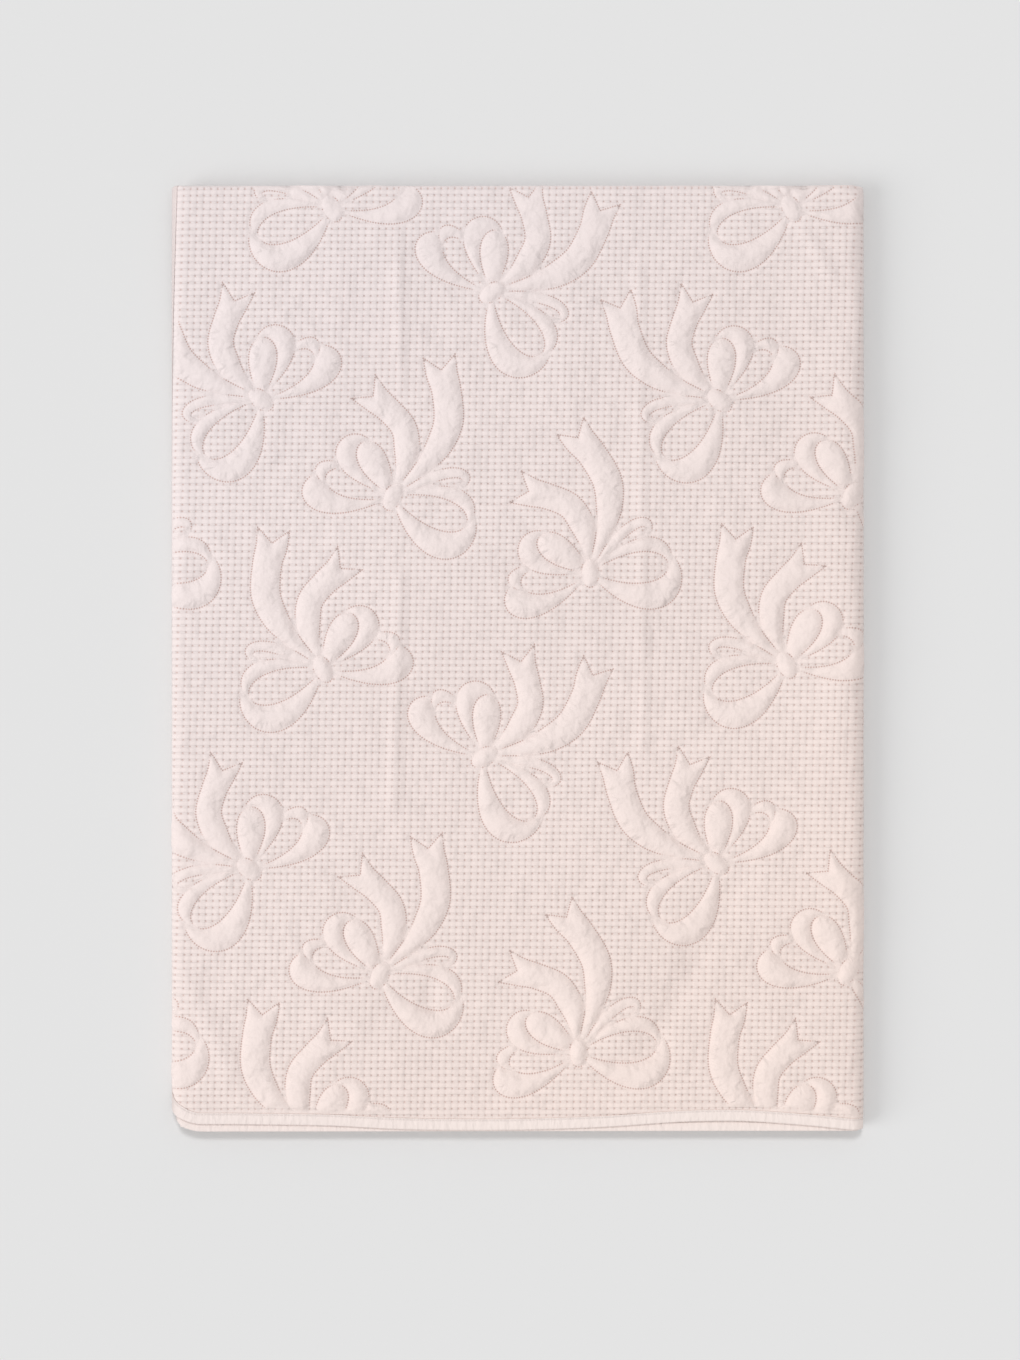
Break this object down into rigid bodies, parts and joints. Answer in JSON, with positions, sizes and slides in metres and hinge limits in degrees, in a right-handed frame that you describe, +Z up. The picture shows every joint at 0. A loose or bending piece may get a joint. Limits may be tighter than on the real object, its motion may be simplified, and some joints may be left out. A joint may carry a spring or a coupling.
{
  "type": "folded quilted bedspread",
  "caption": "Quilted bedspread with a bound edge, folded in half and then in thirds, lying flat.",
  "frame": {"origin": "centre of the base of the folded bedspread, on the surface it lies on", "axes": "+Z up from that surface, +Y along the length towards the half fold, +X across towards the wide side fold"},
  "size_m": [0.7319, 1, 0.0331],
  "materials": {
    "quilted_microfibre": "matte",
    "woven_tape": "satin"
  },
  "bodies": {
    "root": {"quilt": "quilted_microfibre", "binding": "woven_tape"}
  },
  "joints": []
}
